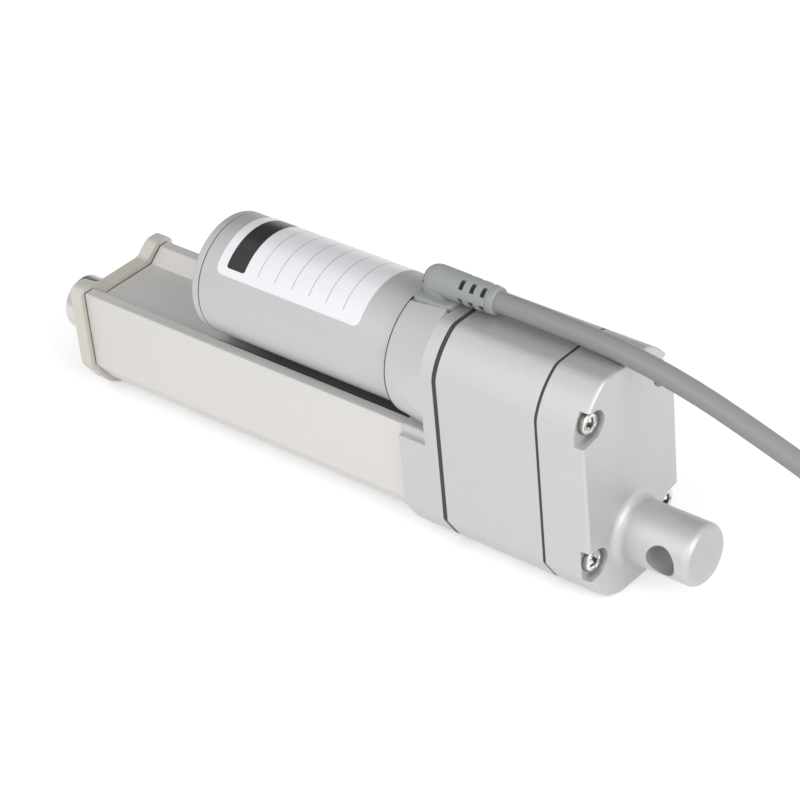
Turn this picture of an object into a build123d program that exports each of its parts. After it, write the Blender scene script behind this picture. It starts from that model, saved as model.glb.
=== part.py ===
# Small electric linear actuator, motor mounted parallel above the thrust tube.
# Axes: +X is the way the rod extends, +Z is up, +Y is the left side seen from the rear clevis.
# Origin: centre of the cross hole in the rear clevis post, on the lead screw axis. Millimetres.
from build123d import *
from math import asin, cos, pi, radians, sin, sqrt, tan
import os

# overall sizes
stroke = 100.0
dead_length = 140.0          # what the rear cross hole to the rod end cross hole adds to the stroke
pin_hole_d = 10.2
post_d = 20.0
post_tip = 9.8               # cross hole centre to the end of the post
post_fillet = 2.9
post_tip_edge_r = 2.4
floor_z = -19.5              # the surface that the actuator stands on
running = 0.05               # radial clearance of a running or sliding fit
free_gap = 0.3               # clearance of faces that pass each other

# gear train, module 1; it sets how high the motor stands above the screw
module = 1.0
pressure_angle = 25.0
addendum = 0.9
dedendum = 1.15
tooth_thinning = 0.16
motor_teeth = 10
idler_big_teeth = 25
idler_small_teeth = 14
output_teeth = 26
idler_z = module * (idler_small_teeth + output_teeth) / 2
motor_axis_z = idler_z + module * (motor_teeth + idler_big_teeth) / 2
idler_pin_r = 2.5
idler_pin_grip = (9.0, 3.6)  # how deep the pin sits in the rear cover and in the front housing
idler_boss_wall = 2.6
idler_spacer_wall = 1.6
gear_key = (9.0, 3.0, 3.2)   # length, width, height of the output gear's key
key_depth = 1.8              # how deep the key sits in the screw
gear_spacer_r = 8.0

# extruded tube
tube_half_w = 20.0
tube_lip_z = 21.5
tube_lip_half_y = tube_half_w - 4.0
trough_half_y = tube_half_w - 9.2
trough_z = 17.2
tube_facet_z = -6.3
tube_facet_foot = (tube_half_w - 4.9, -13.3)
tube_bottom_z = -17.7
tube_bottom_half = tube_half_w - 15.4
tube_fillet = 0.7
port_r = 1.7
upper_port = (tube_half_w - 4.2, tube_lip_z - 6.1)
lower_port = (tube_half_w - 5.4, -9.0)
keyway_w = 4.0
channel_y = tube_half_w - 3.0
channel_h = 10.0

# motor cover, which fills the height above the tube's trough
cover_r = motor_axis_z - trough_z - free_gap
cover_wall = 1.2
cover_past_can = 19.8        # room for the wiring behind the can
cover_cap_t = 3.0
cover_cap_spigot = (3.0, 5.0)    # wall and length of the cap's spigot
cover_seam = 0.5             # groove between the motor cover and its cap
cover_seam_depth = 0.8
cover_cap_edge_r = 1.0
label_t = 0.15
label_gaps = (13.6, 5.7)     # from the collar and from the end of the cover
label_angles = (-58.0, 57.0)

# die cast housings, which wrap the tube and the motor cover
housing_half_w = tube_half_w + 2.2
housing_arc_r = max(cover_r + 3.4, housing_half_w + 1.2)     # round back, about the motor axis
housing_top_z = motor_axis_z + cover_r + 0.8
facet_top_z = -6.5
facet_foot = (housing_half_w - 5.1, -14.6)
bottom_half_flat = housing_half_w - 17.2
shoulder_fillet = 9.0
top_fillet = 6.0
facet_fillet = 1.5
cover_edge_r = 1.0
wall = 2.6
rear_wall = 3.6
rear_face_x = 16.2
cover_depth = 16.7
rear_gasket_t = 1.0
gear_housing_len = 36.7
front_gasket_t = 1.6
flange_t = 4.9
socket_len = 10.3
socket_wall = 1.0
socket_corner_r = 1.5
cheek_drop = 2.4             # the socket's cheeks end this far under the tube's lips
collar_len = 14.3
collar_root_r = cover_r + 3.3
collar_end_r = cover_r + 1.6
collar_lip_gap = 0.8         # the collar's underside clears the tube's lips
mouth_gap = 0.4              # dark groove between the collar's mouth and the motor cover
mouth_depth = 1.6
tube_seat = 1.9              # from the flange to the end of the tube
cover_seat = 4.8             # how deep the motor cover sits in the collar
wire_slot = (3.2, 3.75)      # half width and depth of the slot for the motor's leads

# fastening of the housings
upper_screw = (housing_half_w - 5.7, motor_axis_z + 8.8)
lower_screw = (housing_half_w - 4.0, -1.7)
screw_d = 4.0
screw_clear_d = 4.4
screw_head_d = 7.4
screw_head_h = 2.6
screw_head_edge = 0.8
screw_tip_gap = 0.4          # from the end of a screw to the flange's face
screw_boss_r = 4.2
pocket_r = 4.7
pocket_depth = 3.4
pocket_wall = 1.6
pocket_reach = 20.0          # how far the open side of a pocket is cut
pocket_flare = 3.0           # widening of the open side over that reach

# extension tube, rod end and nut
rod_tube_d = 18.0
rod_tube_wall = 2.0
rod_end_d = rod_tube_d + 1.0
rod_end_tip = 9.8
rod_end_edge_r = 1.4
rod_end_gap = 0.6
rod_end_plug = 12.0          # how deep the rod end sits in the tube
nut_len = 16.0
nut_neck_len = 9.0
nut_start = 5.0              # from the tube's end to the nut, rod retracted
rod_r = rod_tube_d / 2
rod_bore_r = rod_r - rod_tube_wall
tube_bore_r = rod_r + 4.5
nut_r = tube_bore_r - free_gap
keyway_r = tube_bore_r + 2.1

# front cap
cap_setback = 9.6            # from the rod end's cross hole to the face of the cap
cap_proud = 1.8
cap_t = 5.2
cap_edge_r = 0.5
cap_corner_r = 3.0
cap_slope_r = 4.0
cap_spigot_len = 14.0
cap_screw_sink = 0.4
cap_screw_len = 14.0
cap_screw_gap = 0.2          # round the head
spigot_gap = 0.1
seal_t = 0.7                 # rubber ring in the cap's spigot
seal_x = 4.0                 # from the cap's seat back to the ring
seal_w = 1.6
wiper_t = 3.4
wiper_wall = 3.6
bushing_len = 12.0
bushing_wall = 3.0
rod_hole_gap = 1.2

# lead screw and its bearings
screw_r = 5.0
journal_r = 6.0
rear_bearing = (10.0, 26.0, 8.0)
front_bearing = (12.0, 24.0, 6.0)
bearing_overhang = 3.7       # the front bearing stands this far into the gear housing
bearing_boss_wall = 1.8
bearing_lip = 3.0            # shoulder behind an outer race
inner_race_t = 2.3
outer_race_t = 2.4
shield_inset = 0.6
journal_step = 0.6           # past the rear bearing
gear_collar = (8.5, 2.4)     # radius and width of the screw's collar in front of the gear
bearing_collar = (8.0, 2.0)
screw_setback = 11.2         # from the tube's front end back to the screw's tip

# motor
can_gap = 1.05               # from the motor cover's bore to the can
can_r = cover_r - cover_wall - can_gap
can_wall = 1.5
can_len = 73.0
can_hole_gap = 0.8           # round the can, in the front housing
pilot = (6.5, 3.0)           # radius and length of the can's pilot
pilot_gap = 0.1
bushing_r = 4.0
motor_bushing_w = (5.0, 4.0)     # front and rear
motor_shaft_r = 2.0
shaft_past_can = 2.0
magnet_gap = 0.15            # glue line between the magnets and the can
magnet_t = 3.8
magnet_arc = 130.0
magnet_overhang = 2.0        # past each end of the rotor
magnet_r = (can_r - can_wall - magnet_gap - magnet_t, can_r - can_wall - magnet_gap)
rotor_r = magnet_r[0] - 0.5
rotor_start = 14.0           # from the flange
rotor_len = 36.0
rotor_slots = 5
slot_width = 2.0
winding_pitch_r = rotor_r - 5.2
winding_r = 2.9
winding_overhang = 4.0
commutator_r = 5.0
commutator_x = (8.0, 16.0)   # from the rotor's end
brush = (4.0, 4.0, 6.3)      # length, width, outer reach
brush_x = 10.0
end_bell_t = 4.0
brush_holder_gap = 2.5
motor_screw_y = can_r - 5.25
motor_screw_r = 1.5
motor_screw_head = (2.7, 1.8)

# cable and strain relief
cable_d = 6.6
boot_axis_z = housing_top_z + 5.1
boot_root_r = 4.8
boot_neck_r = 4.4
boot_stub = 7.7              # from the flange to the upright stub's axis
boot_stub_r = 5.2
boot_len = 22.3              # from that axis to the end of the boot
boot_ring_r = 4.8
boot_ring_len = 1.9
boot_groove = (0.6, 4.0)     # width, and the radius left under it
foot_half_y = 7.0
foot_seat_z = housing_top_z - 0.55
foot_t = 2.0
foot_corner_r = 1.0
foot_gap = 0.1
slot_first = 3.5             # from the boot's end to the middle of its first slot
slot_pitch = 4.0
slot_size = (1.9, 3.0, 3.4)
slot_angle = 52.0            # above the level, on both sides
notch_first = 7.0
notch_size = (8.0, 4.0)      # width and depth of the notches under the boot

# stored length of the cable, folded into a flat hank behind the clevis
hank_near_x = -80.0          # centres of the two bends
hank_far_x = -150.0
hank_y = -3.0
hank_bend_r = 20.0           # innermost strand
hank_lift = 1.1              # the tie's band lies under the strands
hank_hump = 0.95             # rise of the upper strand over the crossing
tie_t = 1.1
tie_w = 5.0
tie_gap = 0.3
lead_len = 9.0
lead_r = 1.1
lead_pitch = 2.5
connector_len = 17.5
connector_half_y = 5.4
connector_h = 9.6
connector_latch = (3.0, 11.0, 2.0, 1.8)     # start, length, half width, height
connector_cavity = (7.0, 2.8, 5.6)          # depth, width, height
cavity_pitch = 4.4

# places along X and other values worked out from the sizes above
rear_gasket_x = rear_face_x + cover_depth
gear_housing_x = rear_gasket_x + rear_gasket_t
front_gasket_x = gear_housing_x + gear_housing_len
front_housing_x = front_gasket_x + front_gasket_t
flange_end_x = front_housing_x + flange_t
screw_end_x = flange_end_x - screw_tip_gap
socket_end_x = flange_end_x + socket_len
collar_end_x = flange_end_x + collar_len
tube_start_x = flange_end_x + tube_seat
cover_start_x = collar_end_x - cover_seat
cover_end_x = flange_end_x + can_len + cover_past_can
label_x = (collar_end_x + label_gaps[0], cover_end_x - label_gaps[1])
front_bearing_x = front_housing_x - bearing_overhang
output_gear_x = (gear_housing_x + 1.7, gear_housing_x + 11.7)
idler_small_x = (gear_housing_x + 0.7, gear_housing_x + 14.1)
idler_big_x = (gear_housing_x + 15.5, gear_housing_x + 22.5)
motor_pinion_x = (idler_big_x[0] - 0.8, idler_big_x[1] + 1.0)
pin_spacing = stroke + dead_length
cap_face_x = pin_spacing - cap_setback
tube_end_x = cap_face_x - cap_t
screw_tip_x = tube_end_x - screw_setback
nut_start_x = tube_start_x + nut_start
rod_tube_start_x = nut_start_x + nut_len
rod_tube_end_x = cap_face_x + rod_end_gap
seal_r = (tube_bore_r - spigot_gap, tube_bore_r - spigot_gap - seal_t)
wiper_r = rod_r + wiper_wall
rotor_x = (flange_end_x + rotor_start, flange_end_x + rotor_start + rotor_len)
can_end_x = flange_end_x + can_len
foot_x = (flange_end_x - 0.3, collar_end_x - 0.2)
boot_stub_x = flange_end_x + boot_stub
boot_end_x = boot_stub_x - boot_len
cable_r = cable_d / 2
screw_places = [(s * y, z) for (y, z) in (upper_screw, lower_screw) for s in (1, -1)]
port_places = [(s * y, z) for (y, z) in (upper_port, lower_port) for s in (1, -1)]


def slab(face, x0, x1):
    return extrude(Plane.YZ.offset(x0) * face, amount=x1 - x0)


def rod_x(r, x0, x1, y=0.0, z=0.0):
    bar = Cylinder(r, x1 - x0, align=(Align.CENTER, Align.CENTER, Align.MIN))
    return Pos(x0, y, z) * Rot(0, 90, 0) * bar


def ring_x(r_out, r_in, x0, x1, y=0.0, z=0.0):
    return rod_x(r_out, x0, x1, y, z) - rod_x(r_in, x0 - 1, x1 + 1, y, z)


def cone_x(r0, r1, x0, x1, y=0.0, z=0.0):
    cone = Cone(r0, r1, x1 - x0, align=(Align.CENTER, Align.CENTER, Align.MIN))
    return Pos(x0, y, z) * Rot(0, 90, 0) * cone


def box_between(lo, hi):
    size = [b - a for a, b in zip(lo, hi)]
    middle = [(a + b) / 2 for a, b in zip(lo, hi)]
    return Pos(*middle) * Box(*size)


def polar(r, angle):
    return (r * cos(angle), r * sin(angle))


def edges_at_x(shape, x):
    return [e for e in shape.edges() if abs(e.bounding_box().min.X - x) < 0.01
            and abs(e.bounding_box().max.X - x) < 0.01]


def save(name, shape):
    shape.label = name
    export_step(shape, "parts/" + name + ".step")


# profiles, drawn as (y, z)

def closed_half(right, top_z, bottom_z):
    # right half of an outline, from the bottom to the top, closed by its mirror image
    half = make_face(right + [Line((0, top_z), (0, bottom_z))])
    return (half + mirror(half, about=Plane.YZ)).clean()


def rounded(face, corners, r):
    near = [v for v in face.vertices()
            if min(abs(abs(v.X) - y) + abs(v.Y - z) for y, z in corners) < 0.01]
    return fillet(near, r)


def housing_profile(inset=0.0):
    half_w = housing_half_w - inset
    arc_r = housing_arc_r - inset
    top = housing_top_z - inset
    bottom = floor_z + inset
    top_y = sqrt(arc_r ** 2 - (top - motor_axis_z) ** 2)
    side_z = motor_axis_z + sqrt(arc_r ** 2 - half_w ** 2)
    slope = (facet_top_z - facet_foot[1]) / (housing_half_w - facet_foot[0])
    foot = (facet_foot[0] - 0.7 * inset, facet_foot[1] + 0.7 * inset)
    low_z = foot[1] + slope * (half_w - foot[0])
    diagonal = arc_r * sin(radians(45))
    right = [
        Line((0, bottom), (bottom_half_flat, bottom)),
        TangentArc((bottom_half_flat, bottom), foot, tangent=(1, 0)),
        Line(foot, (half_w, low_z)),
        Line((half_w, low_z), (half_w, side_z)),
        ThreePointArc((half_w, side_z), (diagonal, motor_axis_z + diagonal), (top_y, top)),
        Line((top_y, top), (0, top)),
    ]
    face = closed_half(right, top, bottom)
    face = rounded(face, [(half_w, side_z)], shoulder_fillet)
    face = rounded(face, [(top_y, top)], top_fillet)
    return rounded(face, [(half_w, low_z), foot], facet_fillet)


def tube_profile(grow=0.0, corner_r=tube_fillet, slope_r=tube_fillet):
    half_w = tube_half_w + grow
    bottom = tube_bottom_z - grow
    slope = (tube_facet_z - tube_facet_foot[1]) / (tube_half_w - tube_facet_foot[0])
    foot = (tube_facet_foot[0] + 0.7 * grow, tube_facet_foot[1] - 0.7 * grow)
    low_z = foot[1] + slope * (half_w - foot[0])
    lip_z = tube_lip_z + grow
    lip_y = tube_lip_half_y - 0.6 * grow
    floor_y = trough_half_y - 0.6 * grow
    right = [
        Line((0, bottom), (tube_bottom_half, bottom)),
        TangentArc((tube_bottom_half, bottom), foot, tangent=(1, 0)),
        Line(foot, (half_w, low_z)),
        Line((half_w, low_z), (half_w, lip_z)),
        Line((half_w, lip_z), (lip_y, lip_z)),
        Line((lip_y, lip_z), (floor_y, trough_z + grow)),
        Line((floor_y, trough_z + grow), (0, trough_z + grow)),
    ]
    face = closed_half(right, trough_z + grow, bottom)
    face = rounded(face, [(lip_y, lip_z), (floor_y, trough_z + grow)], slope_r)
    return rounded(face, [(half_w, lip_z), (half_w, low_z), foot], corner_r)


def gear_profile(teeth, tooth_angle, bore_r):
    # involute flanks drawn as arcs through three points of the involute
    pitch_r = module * teeth / 2
    base_r = pitch_r * cos(radians(pressure_angle))
    tip_r = pitch_r + addendum * module
    root_r = pitch_r - dedendum * module
    inv_pitch = tan(radians(pressure_angle)) - radians(pressure_angle)
    half_pitch = (pi * module / 2 - tooth_thinning) / (2 * pitch_r)

    def half_angle(r):
        turn = sqrt(max((r / base_r) ** 2 - 1, 0))
        return half_pitch + inv_pitch - (turn - asin(turn / sqrt(1 + turn ** 2)))

    low_r = max(root_r, base_r)
    radii = [low_r, (low_r + tip_r) / 2, tip_r]
    lines = []
    step = 2 * pi / teeth
    for i in range(teeth):
        c = tooth_angle + i * step
        rise = [polar(r, c - half_angle(r)) for r in radii]
        fall = [polar(r, c + half_angle(r)) for r in reversed(radii)]
        root_in = polar(root_r, c - half_angle(low_r))
        root_out = polar(root_r, c + half_angle(low_r))
        root_next = polar(root_r, c + step - half_angle(low_r))
        if low_r > root_r:
            lines += [Line(root_in, rise[0]), Line(fall[2], root_out)]
        lines += [ThreePointArc(*rise), Line(rise[2], fall[0]), ThreePointArc(*fall)]
        lines += [Line(root_out, root_next)]
    return make_face(lines) - Circle(bore_r)


def gear(teeth, tooth_angle, bore_r, span, z):
    return Pos(0, 0, z) * slab(gear_profile(teeth, tooth_angle, bore_r), *span)


# housings

def screw_pocket(y, z):
    # round well for the screw head, open to the side of the housing
    y0, y1 = abs(y), abs(y) + pocket_reach
    mouth = Polyline((y0, z - pocket_r), (y1, z - pocket_r - pocket_flare),
                     (y1, z + pocket_r + pocket_flare), (y0, z + pocket_r), (y0, z - pocket_r))
    pocket = slab(make_face(mouth.edges()), rear_face_x - 1, rear_face_x + pocket_depth)
    pocket += rod_x(pocket_r, rear_face_x - 1, rear_face_x + pocket_depth, y0, z)
    return pocket if y > 0 else mirror(pocket, about=Plane.XZ)


def make_clevis_post():
    # turned outline: rounded tip, plain shank, flared root on the rear face
    r = post_d / 2
    tip = -post_tip
    bend = sin(radians(45))
    edge = post_tip_edge_r
    flare = post_fillet
    outline = [
        Line((tip, 0), (tip, r - edge)),
        ThreePointArc((tip, r - edge), (tip + edge * (1 - bend), r - edge * (1 - bend)), (tip + edge, r)),
        Line((tip + edge, r), (rear_face_x - flare, r)),
        ThreePointArc((rear_face_x - flare, r),
                      (rear_face_x - flare * (1 - bend), r + flare * (1 - bend)),
                      (rear_face_x, r + flare)),
        Line((rear_face_x, r + flare), (rear_face_x + 1, r + flare)),
        Line((rear_face_x + 1, r + flare), (rear_face_x + 1, 0)),
        Line((rear_face_x + 1, 0), (tip, 0)),
    ]
    return revolve(make_face(outline), axis=Axis.X)


def make_rear_cover():
    bearing_x = rear_gasket_x - rear_bearing[2]
    inside_end = rear_gasket_x + 2
    hollow = slab(housing_profile(wall), rear_face_x + rear_wall, rear_gasket_x + 1)
    hollow -= rod_x(rear_bearing[1] / 2 + bearing_boss_wall, rear_face_x, inside_end)
    hollow -= rod_x(idler_pin_r + idler_boss_wall, rear_face_x, inside_end, 0, idler_z)
    for (y, z) in screw_places:
        hollow -= rod_x(pocket_r + pocket_wall, rear_face_x, inside_end, y, z)
    body = slab(housing_profile(), rear_face_x, rear_gasket_x) - hollow
    body -= rod_x(rear_bearing[1] / 2, bearing_x, inside_end)
    body -= rod_x(rear_bearing[1] / 2 - bearing_lip, bearing_x - 2, bearing_x + 1)
    body -= rod_x(idler_pin_r, rear_gasket_x - idler_pin_grip[0], inside_end, 0, idler_z)
    body = fillet(edges_at_x(body, rear_face_x), cover_edge_r)
    body += make_clevis_post()
    body -= Rot(90, 0, 0) * Cylinder(pin_hole_d / 2, post_d + 10)
    for (y, z) in screw_places:
        body -= screw_pocket(y, z)
        body -= rod_x(screw_clear_d / 2, rear_face_x, inside_end, y, z)
    return body


def ring_plate(x0, x1):
    plate = slab(housing_profile(), x0, x1)
    opening = slab(housing_profile(wall), x0 - 1, x1 + 1)
    for (y, z) in screw_places:
        opening -= rod_x(screw_boss_r, x0 - 2, x1 + 2, y, z)
    plate -= opening
    for (y, z) in screw_places:
        plate -= rod_x(screw_clear_d / 2, x0 - 1, x1 + 1, y, z)
    return plate


def make_front_housing():
    body = slab(housing_profile(), front_housing_x, flange_end_x)
    socket = slab(tube_profile(socket_wall, socket_corner_r, socket_corner_r), flange_end_x - 1, socket_end_x)
    cheek_z = tube_lip_z - cheek_drop
    cheeks = slab(housing_profile(), flange_end_x - 1, socket_end_x)
    cheeks &= box_between((0, -60, -60), (200, 60, cheek_z))
    collar = cone_x(collar_root_r, collar_end_r, flange_end_x, collar_end_x, 0, motor_axis_z)
    collar &= box_between((0, -housing_half_w, 0), (200, housing_half_w, 100))
    boss = rod_x(front_bearing[1] / 2 + bearing_boss_wall, front_bearing_x, front_housing_x + 1)
    for (y, z) in screw_places:
        boss -= rod_x(screw_boss_r + free_gap, front_bearing_x - 1, front_housing_x, y, z)
    body += collar + cheeks + socket + boss
    body -= box_between((socket_end_x, -tube_lip_half_y, 0),
                        (collar_end_x + 1, tube_lip_half_y, tube_lip_z + collar_lip_gap))
    body -= slab(tube_profile(running), tube_start_x, collar_end_x + 1)
    body -= rod_x(can_r + can_hole_gap, flange_end_x, collar_end_x + 1, 0, motor_axis_z)
    body -= rod_x(cover_r + running, cover_start_x, collar_end_x + 1, 0, motor_axis_z)
    body -= rod_x(cover_r + mouth_gap, collar_end_x - mouth_depth, collar_end_x + 1, 0, motor_axis_z)
    body -= rod_x(front_bearing[1] / 2, front_bearing_x - 1, front_bearing_x + front_bearing[2])
    body -= rod_x(front_bearing[1] / 2 - bearing_lip, front_bearing_x, tube_start_x + 1)
    body -= rod_x(pilot[0] + pilot_gap, front_housing_x - 1, flange_end_x + 1, 0, motor_axis_z)
    body -= rod_x(idler_pin_r, front_housing_x - 1, front_housing_x + idler_pin_grip[1], 0, idler_z)
    for side in (1, -1):
        body -= rod_x(motor_screw_r + pilot_gap, front_housing_x - 1, flange_end_x + 1,
                      side * motor_screw_y, motor_axis_z)
    for (y, z) in screw_places:
        body -= rod_x(screw_d / 2, front_housing_x - 1, screw_end_x + 0.2, y, z)
    seat_half_y = foot_half_y + foot_gap
    body -= box_between((foot_x[0] - foot_gap, -seat_half_y, foot_seat_z),
                        (collar_end_x + 1, seat_half_y, housing_top_z + 10))
    body -= box_between((flange_end_x - 0.5, -wire_slot[0], foot_seat_z - wire_slot[1]),
                        (cover_start_x, wire_slot[0], foot_seat_z + 1))
    return body


def make_cover_screws():
    out = []
    head_x = rear_face_x + pocket_depth
    for (y, z) in screw_places:
        head = rod_x(screw_head_d / 2, head_x - screw_head_h, head_x, y, z)
        head = chamfer(edges_at_x(head, head_x - screw_head_h), screw_head_edge)
        shank = rod_x(screw_d / 2, head_x, screw_end_x, y, z)
        out.append(head + shank)
    return Compound(children=out)


# tube, front cap and rod

def make_outer_tube():
    body = slab(tube_profile(), tube_start_x, tube_end_x)
    body -= rod_x(tube_bore_r, tube_start_x - 1, tube_end_x + 1)
    for (y, z) in port_places:
        body -= rod_x(port_r, tube_start_x - 1, tube_end_x + 1, y, z)
    body -= box_between((tube_start_x - 1, 0, -keyway_w / 2), (tube_end_x + 1, keyway_r, keyway_w / 2))
    body -= box_between((tube_start_x - 1, -keyway_w / 2, -keyway_r), (tube_end_x + 1, keyway_w / 2, 0))
    body -= box_between((tube_start_x - 1, -channel_y, -channel_h / 2),
                        (tube_end_x + 1, 0, channel_h / 2))
    return body


def make_front_cap():
    body = slab(tube_profile(cap_proud, cap_corner_r, cap_slope_r), tube_end_x, cap_face_x)
    body = fillet(edges_at_x(body, cap_face_x), cap_edge_r)
    spigot = rod_x(tube_bore_r - spigot_gap, tube_end_x - cap_spigot_len, tube_end_x + 1)
    body += spigot - ring_x(tube_bore_r + 1, seal_r[1], tube_end_x - seal_x - seal_w, tube_end_x - seal_x)
    body -= rod_x(rod_r + bushing_wall, tube_end_x - cap_spigot_len - 1, cap_face_x - wiper_t - 1)
    body -= rod_x(rod_r + rod_hole_gap, tube_end_x, cap_face_x + 1)
    body -= rod_x(wiper_r, cap_face_x - wiper_t, cap_face_x + 1)
    for (y, z) in port_places:
        seat_x = cap_face_x - screw_head_h - cap_screw_sink
        body -= rod_x(screw_clear_d / 2, tube_end_x - 1, cap_face_x + 1, y, z)
        body -= rod_x(screw_head_d / 2 + cap_screw_gap, seat_x, cap_face_x + 1, y, z)
    return body


def make_cap_seal():
    x1 = tube_end_x - seal_x
    return ring_x(seal_r[0], seal_r[1], x1 - seal_w, x1)


def make_front_cap_screws():
    out = []
    head_x = cap_face_x - screw_head_h - cap_screw_sink
    for (y, z) in port_places:
        head = rod_x(screw_head_d / 2, head_x, head_x + screw_head_h, y, z)
        head = chamfer(edges_at_x(head, head_x + screw_head_h), screw_head_edge)
        out.append(head + rod_x(port_r, head_x - cap_screw_len, head_x, y, z))
    return Compound(children=out)


def make_rod_wiper():
    body = ring_x(wiper_r, rod_r + running, cap_face_x - wiper_t, cap_face_x - 0.2)
    groove = ring_x(wiper_r - 1.2, rod_r + 1.4, cap_face_x - 1.4, cap_face_x)
    return body - groove


def make_rod_bushing():
    return ring_x(rod_r + bushing_wall, rod_r + running, tube_end_x - cap_spigot_len + 1,
                  tube_end_x - cap_spigot_len + 1 + bushing_len)


def make_extension_tube():
    return ring_x(rod_r, rod_bore_r, rod_tube_start_x, rod_tube_end_x)


def make_rod_end():
    body = rod_x(rod_end_d / 2, rod_tube_end_x, pin_spacing + rod_end_tip)
    body = fillet(edges_at_x(body, pin_spacing + rod_end_tip), rod_end_edge_r)
    body += rod_x(rod_bore_r, rod_tube_end_x - rod_end_plug, rod_tube_end_x + 1)
    return body - Pos(pin_spacing, 0, 0) * Rot(90, 0, 0) * Cylinder(pin_hole_d / 2, rod_end_d + 10)


def make_drive_nut():
    body = rod_x(nut_r, nut_start_x, rod_tube_start_x)
    key_r = keyway_r - free_gap
    half_key = keyway_w / 2 - free_gap
    body += box_between((nut_start_x, 0, -half_key), (rod_tube_start_x, key_r, half_key))
    body += box_between((nut_start_x, -half_key, -key_r), (rod_tube_start_x, half_key, 0))
    body += rod_x(rod_bore_r, rod_tube_start_x - 1, rod_tube_start_x + nut_neck_len)
    return body - rod_x(screw_r + running, nut_start_x - 1, rod_tube_start_x + nut_neck_len + 1)


# screw, gears and bearings

def make_lead_screw():
    rear_x = rear_gasket_x - rear_bearing[2]
    step_x = rear_gasket_x + journal_step
    body = rod_x(rear_bearing[0] / 2, rear_x, step_x)
    body += rod_x(journal_r, step_x, front_bearing_x + front_bearing[2])
    body += rod_x(gear_collar[0], output_gear_x[1], output_gear_x[1] + gear_collar[1])
    body += rod_x(bearing_collar[0], front_bearing_x - bearing_collar[1], front_bearing_x)
    body -= make_gear_key()
    body += rod_x(screw_r, front_bearing_x + front_bearing[2], screw_tip_x)
    return body


def make_gear_key():
    length, width, height = gear_key
    middle = (output_gear_x[0] + output_gear_x[1]) / 2
    low = journal_r - key_depth
    return box_between((middle - length / 2, -width / 2, low), (middle + length / 2, width / 2, low + height))


def make_output_gear():
    body = gear(output_teeth, pi / 2 + pi / output_teeth, journal_r, output_gear_x, 0)
    length, width, height = gear_key
    top = journal_r - key_depth + height + running
    return body - box_between((output_gear_x[0] - 1, -width / 2, 0), (output_gear_x[1] + 1, width / 2, top))


def make_gear_spacer():
    return ring_x(gear_spacer_r, journal_r, rear_gasket_x + journal_step, output_gear_x[0])


def bearing_outer(sizes, x):
    bore, outer, width = sizes
    race = ring_x(outer / 2, outer / 2 - outer_race_t, x, x + width)
    shields = ring_x(outer / 2 - outer_race_t, bore / 2 + inner_race_t + free_gap,
                     x + shield_inset, x + width - shield_inset)
    return race + shields


def bearing_inner(sizes, x):
    bore, outer, width = sizes
    return ring_x(bore / 2 + inner_race_t, bore / 2, x, x + width)


def make_bearings(piece):
    return Compound(children=[piece(rear_bearing, rear_gasket_x - rear_bearing[2]),
                              piece(front_bearing, front_bearing_x)])


def make_idler_gear():
    half_gap = pi / idler_big_teeth
    big = gear(idler_big_teeth, pi / 2 + half_gap, idler_pin_r + running, idler_big_x, idler_z)
    small = gear(idler_small_teeth, -pi / 2, idler_pin_r + running, idler_small_x, idler_z)
    web = ring_x(idler_small_teeth * module / 2 - dedendum, idler_pin_r + running,
                 idler_small_x[1], idler_big_x[0], 0, idler_z)
    return big + small + web


def make_idler_spacer():
    return ring_x(idler_pin_r + idler_spacer_wall, idler_pin_r + running, idler_big_x[1] + free_gap,
                  front_housing_x - pilot_gap, 0, idler_z)


# motor

def make_motor_can():
    x0 = flange_end_x
    body = ring_x(can_r, can_r - can_wall, x0, x0 + can_len, 0, motor_axis_z)
    body += ring_x(can_r, bushing_r, x0, x0 + can_wall, 0, motor_axis_z)
    body += ring_x(pilot[0], bushing_r, x0 - pilot[1], x0 + can_wall, 0, motor_axis_z)
    for side in (1, -1):
        body -= rod_x(motor_screw_r, x0 - 1, x0 + can_wall + 1, side * motor_screw_y, motor_axis_z)
    return body


def make_rotor_core():
    x0, x1 = rotor_x
    body = ring_x(rotor_r, motor_shaft_r, x0, x1, 0, motor_axis_z)
    for i in range(rotor_slots):
        turn = Pos(0, 0, motor_axis_z) * Rot(360 / rotor_slots * i, 0, 0)
        body -= turn * box_between((x0 - 1, -slot_width / 2, winding_pitch_r),
                                   (x1 + 1, slot_width / 2, rotor_r + 1))
        body -= turn * rod_x(winding_r + 0.1, x0 - 1, x1 + 1, 0, winding_pitch_r)
    return body


def make_rotor_windings():
    x0, x1 = rotor_x
    out = []
    for i in range(rotor_slots):
        turn = Pos(0, 0, motor_axis_z) * Rot(360 / rotor_slots * i, 0, 0)
        out.append(turn * rod_x(winding_r, x0 - winding_overhang, x1 + winding_overhang, 0, winding_pitch_r))
    return Compound(children=out)


def make_commutator():
    x1 = rotor_x[1]
    body = ring_x(commutator_r, motor_shaft_r, x1 + commutator_x[0], x1 + commutator_x[1], 0, motor_axis_z)
    for i in range(rotor_slots):
        turn = Pos(0, 0, motor_axis_z) * Rot(360 / rotor_slots * i + 18, 0, 0)
        body -= turn * box_between((x1 + commutator_x[0] - 1, -0.2, commutator_r - 0.8),
                                   (x1 + commutator_x[1] - 1, 0.2, commutator_r + 1))
    return body


def make_motor_shaft():
    return rod_x(motor_shaft_r, motor_pinion_x[0], can_end_x + shaft_past_can, 0, motor_axis_z)


def make_brushes():
    x1 = rotor_x[1]
    out = []
    for side in (1, -1):
        inner, outer = commutator_r + free_gap, commutator_r + brush[2]
        out.append(box_between((x1 + brush_x, min(side * inner, side * outer), motor_axis_z - brush[1] / 2),
                               (x1 + brush_x + brush[0], max(side * inner, side * outer),
                                motor_axis_z + brush[1] / 2)))
    return Compound(children=out)


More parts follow.
